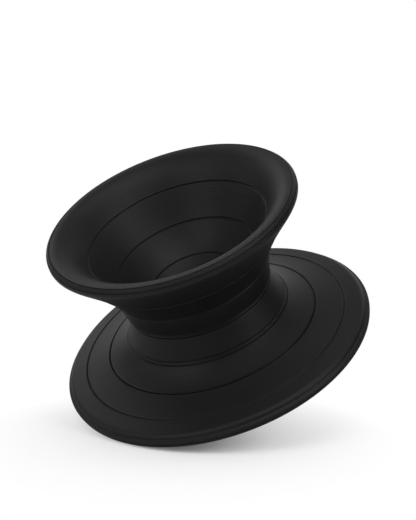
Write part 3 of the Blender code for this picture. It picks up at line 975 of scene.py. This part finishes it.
# Turn and rise in degrees, and power: a turn of 0 lies straight behind the chair as the camera sees it,
# and 90 to its right
SOFTBOXES = (
    ("key_softbox", 180.0, 60.0, 108.0),
    ("left_front_softbox", 228.0, 25.0, 88.0),
    ("left_softbox", 275.0, 12.0, 32.0),
    ("left_back_softbox", 315.0, 38.0, 43.0),
    ("right_front_softbox", 125.0, 30.0, 114.0),
    ("right_back_softbox", 45.0, 40.0, 24.0),
    ("top_softbox", 0.0, 88.0, 45.0),
)
SOFTBOX_WIDTH = 2.8
SOFTBOX_DISTANCE = 5.0
SOFTBOX_AIM = Vector((0.0, 0.0, 0.35))
FLOOR_RADIUS = 1.8
FLOOR_SEGMENTS = 96
FLOOR_DROP = 0.0003
# Where reflections turn white: on the floor between two distances from the shadow, in the room between
# two cosines from straight behind the chair
FLOOR_WHITE = (0.8, 2.5)
BACKDROP = (0.6, 0.9)
# Middle of the shadow, under the raised side of the base, and how white the floor is at distances from it
SHADOW = (0.095, -0.100, 0.0)
SHADOW_STOPS = ((0.0, 0.05), (0.1, 0.17), (0.25, 0.47), (0.4, 0.68), (0.6, 1.0))


def studio_direction(settings, turn, rise):
    """Direction from the chair towards a place in the studio."""
    ahead = Vector((-math.sin(settings.azimuth), math.cos(settings.azimuth), 0.0))
    right = Vector((math.cos(settings.azimuth), math.sin(settings.azimuth), 0.0))
    turn = math.radians(turn)
    rise = math.radians(rise)
    level = (ahead * math.cos(turn) + right * math.sin(turn)) * math.cos(rise)
    return level + Vector((0.0, 0.0, math.sin(rise)))


def add_softbox(settings, name, turn, rise, power):
    light = bpy.data.lights.new(name, "AREA")
    light.size = SOFTBOX_WIDTH
    light.energy = power
    towards = studio_direction(settings, turn, rise)
    made = bpy.data.objects.new(name, light)
    made.location = SOFTBOX_AIM + towards * SOFTBOX_DISTANCE
    made.rotation_euler = (-towards).to_track_quat("-Z", "Y").to_euler()
    bpy.context.scene.collection.objects.link(made)


def smooth_step(net, value, low, high):
    return net.node("ShaderNodeMapRange", {"interpolation_type": "SMOOTHSTEP"},
                    {"Value": value, "From Min": low, "From Max": high})


def add_floor(settings):
    """Pale floor that fades to white away from the chair and keeps its shadow."""
    made, net = new_material("pale_floor")
    path = net.node("ShaderNodeLightPath")
    mirrored = path.out("Is Glossy Ray") + path.out("Is Transmission Ray")
    place = net.node("ShaderNodeTexCoord", None, None, "Object")
    reach = net.node("ShaderNodeVectorMath", {"operation": "DISTANCE"}, {0: place, 1: SHADOW}, "Value")
    near = net.node("ShaderNodeValToRGB", {"stops": SHADOW_STOPS}, {"Fac": reach})
    far = smooth_step(net, reach, *FLOOR_WHITE)
    white = path.out("Is Camera Ray") * near + mirrored * far
    grey = settings.floor_grey
    matte = net.node("ShaderNodeBsdfDiffuse", None, {"Color": (grey, grey, grey, 1.0)})
    glow = net.node("ShaderNodeEmission", None, {"Color": (1.0, 1.0, 1.0, 1.0), "Strength": 1.0})
    both = net.node("ShaderNodeMixShader", None, {0: white, 1: matte, 2: glow})
    net.node("ShaderNodeOutputMaterial", None, {"Surface": both})
    mesh = bpy.data.meshes.new("floor")
    bm = bmesh.new()
    bmesh.ops.create_circle(bm, cap_ends=True, segments=FLOOR_SEGMENTS, radius=FLOOR_RADIUS)
    bm.to_mesh(mesh)
    bm.free()
    mesh.materials.append(made)
    floor = bpy.data.objects.new("floor", mesh)
    floor.location.z = -FLOOR_DROP
    bpy.context.scene.collection.objects.link(floor)


def add_world(scene, settings):
    """Even grey room, which is white for the camera and where a mirror shows what is behind the chair."""
    world = bpy.data.worlds.new("studio")
    world.use_nodes = True
    world.node_tree.nodes.clear()
    net = Net(world.node_tree)
    place = net.node("ShaderNodeTexCoord", None, None, "Generated")
    facing = net.node("ShaderNodeVectorMath", {"operation": "DOT_PRODUCT"},
                      {0: place, 1: studio_direction(settings, 0.0, 0.0)}, "Value")
    backdrop = smooth_step(net, facing, *BACKDROP)
    path = net.node("ShaderNodeLightPath")
    camera = path.out("Is Camera Ray")
    mirrored = path.out("Is Glossy Ray") + path.out("Is Transmission Ray")
    white = net.math("MINIMUM", camera + mirrored * backdrop, 1.0)
    strength = white + (1.0 - white) * settings.room_grey
    light = net.node("ShaderNodeBackground", None, {"Color": (1.0, 1.0, 1.0, 1.0), "Strength": strength})
    net.node("ShaderNodeOutputWorld", None, {"Surface": light})
    scene.world = world


def add_camera(scene, settings, rim_middle):
    """Camera at the photograph's place, aimed beside the middle of the base rim."""
    turn, rise = settings.azimuth, settings.elevation
    back = Vector((math.sin(turn) * math.cos(rise), -math.cos(turn) * math.cos(rise), math.sin(rise)))
    right = Vector((math.cos(turn), math.sin(turn), 0.0))
    up = back.cross(right)
    aim = rim_middle + right * settings.aim_right + up * settings.aim_up
    data = bpy.data.cameras.new("camera")
    data.sensor_width = SENSOR
    data.lens = settings.focal_pixels * SENSOR / PHOTO_HEIGHT
    data.clip_end = 100.0
    made = bpy.data.objects.new("camera", data)
    made.matrix_world = Matrix.Translation(aim + back * settings.distance) @ Matrix(
        (right, up, back)).transposed().to_4x4()
    scene.collection.objects.link(made)
    scene.camera = made


# Operators

class CHAIR_OT_seat_moulding(bpy.types.Operator):
    """Turn the seat moulding: bowl, top rim and collar"""
    bl_idname = "chair.seat_moulding"
    bl_label = "Seat moulding"
    bl_options = {"REGISTER", "UNDO"}

    def execute(self, context):
        chair = Chair(context.scene)
        shell = kept_material("black_polyethylene", polyethylene, chair.finish)
        made = turned("seat", seat_section(chair), shell, chair, [insert_pockets(chair)])
        settle(made, "shell", "seat_moulding")
        return {"FINISHED"}


class CHAIR_OT_base_moulding(bpy.types.Operator):
    """Turn the base moulding: skirt, base rim and underside"""
    bl_idname = "chair.base_moulding"
    bl_label = "Base moulding"
    bl_options = {"REGISTER", "UNDO"}

    def execute(self, context):
        chair = Chair(context.scene)
        shell = kept_material("black_polyethylene", polyethylene, chair.finish)
        made = turned("base", base_section(chair), shell, chair, [bolt_holes(chair), screw_pilots(chair)])
        settle(made, "shell", "base_moulding")
        return {"FINISHED"}


class CHAIR_OT_joint_seal(bpy.types.Operator):
    """Turn the rubber ring in the waist joint"""
    bl_idname = "chair.joint_seal"
    bl_label = "Joint seal"
    bl_options = {"REGISTER", "UNDO"}

    def execute(self, context):
        chair = Chair(context.scene)
        black = kept_material("black_rubber", rubber, chair.finish)
        settle(turned("seal", seal_section(chair), black, chair), "seal", "joint_seal")
        return {"FINISHED"}


class CHAIR_OT_floor_tip(bpy.types.Operator):
    """Turn the wearing tip under the base"""
    bl_idname = "chair.floor_tip"
    bl_label = "Floor tip"
    bl_options = {"REGISTER", "UNDO"}

    def execute(self, context):
        chair = Chair(context.scene)
        black = kept_material("black_nylon", nylon, chair.finish)
        settle(turned("tip", tip_section(chair), black, chair, tip_holes(chair)), "tip", "floor_tip")
        return {"FINISHED"}


class CHAIR_OT_tip_screws(bpy.types.Operator):
    """Set the screws that hold the floor tip"""
    bl_idname = "chair.tip_screws"
    bl_label = "Tip screws"
    bl_options = {"REGISTER", "UNDO"}

    def execute(self, context):
        chair = Chair(context.scene)
        joint = chair.joint
        zinc = kept_material("zinc_plating", plated, chair.finish.zinc)
        made = section_object("tip_screws", screw_section(chair))
        add_nodes(made, kept_tree("screws", screw_tree), {
            "Segments": SCREW_SEGMENTS, "Count": joint.screw_count, "Circle": joint.screw_circle,
            "First": joint.screw_first, "Head": screw_head_seat(chair) - joint.screw_head_height,
            "Cross": joint.screw_head, "Finish": zinc})
        finish_mesh(made, chair.place)
        settle(made, "steel", *(f"tip_screw_{number + 1}" for number in range(joint.screw_count)))
        return {"FINISHED"}


class CHAIR_OT_inner_fastenings(bpy.types.Operator):
    """Finish the bolts, inserts and plate that come from the frame"""
    bl_idname = "chair.inner_fastenings"
    bl_label = "Inner fastenings"
    bl_options = {"REGISTER", "UNDO"}

    def execute(self, context):
        chair = Chair(context.scene)
        zinc = kept_material("zinc_plating", plated, chair.finish.zinc)
        brass = kept_material("plain_brass", plated, chair.finish.brass)
        for name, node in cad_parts.items():
            metal = brass if name.startswith("threaded_insert") else zinc
            if name.startswith(("threaded_insert", "joint_bolt", "clamp_plate")):
                node.data.materials.clear()
                node.data.materials.append(metal)
        return {"FINISHED"}


class CHAIR_OT_stage(bpy.types.Operator):
    """Set the floor, the light and the camera"""
    bl_idname = "chair.stage"
    bl_label = "Stage"
    bl_options = {"REGISTER", "UNDO"}

    def execute(self, context):
        scene = context.scene
        settings = scene.chair_stage
        add_floor(settings)
        add_world(scene, settings)
        for softbox in SOFTBOXES:
            add_softbox(settings, *softbox)
        add_camera(scene, settings, Chair(scene).place.translation)
        scene.view_settings.view_transform = "Standard"
        return {"FINISHED"}


class CHAIR_PT_panel(bpy.types.Panel):
    """Lists the pieces and the settings"""
    bl_idname = "CHAIR_PT_panel"
    bl_label = "Spinning-top chair"
    bl_space_type = "VIEW_3D"
    bl_region_type = "UI"
    bl_category = "Chair"

    def draw(self, context):
        for operator in OPERATORS:
            self.layout.operator(operator.bl_idname)
        for group in SETTINGS:
            settings = getattr(context.scene, group)
            box = self.layout.box()
            for name in settings.bl_rna.properties.keys():
                if name not in ("rna_type", "name"):
                    box.prop(settings, name)


SETTINGS = {"chair_form": ChairForm, "chair_joint": ChairJoint, "chair_finish": ChairFinish,
            "chair_stage": ChairStage}
OPERATORS = (CHAIR_OT_seat_moulding, CHAIR_OT_base_moulding, CHAIR_OT_joint_seal, CHAIR_OT_floor_tip,
             CHAIR_OT_tip_screws, CHAIR_OT_inner_fastenings, CHAIR_OT_stage)


def register():
    for group in (*SETTINGS.values(), *OPERATORS, CHAIR_PT_panel):
        bpy.utils.register_class(group)
    for name, group in SETTINGS.items():
        setattr(bpy.types.Scene, name, PointerProperty(type=group))


def unregister():
    for name in SETTINGS:
        delattr(bpy.types.Scene, name)
    for group in reversed((*SETTINGS.values(), *OPERATORS, CHAIR_PT_panel)):
        bpy.utils.unregister_class(group)


def main():
    register()
    bpy.ops.chair.seat_moulding()
    bpy.ops.chair.base_moulding()
    bpy.ops.chair.joint_seal()
    bpy.ops.chair.floor_tip()
    bpy.ops.chair.tip_screws()
    bpy.ops.chair.inner_fastenings()
    bpy.ops.chair.stage()


if __name__ == "__main__":
    main()
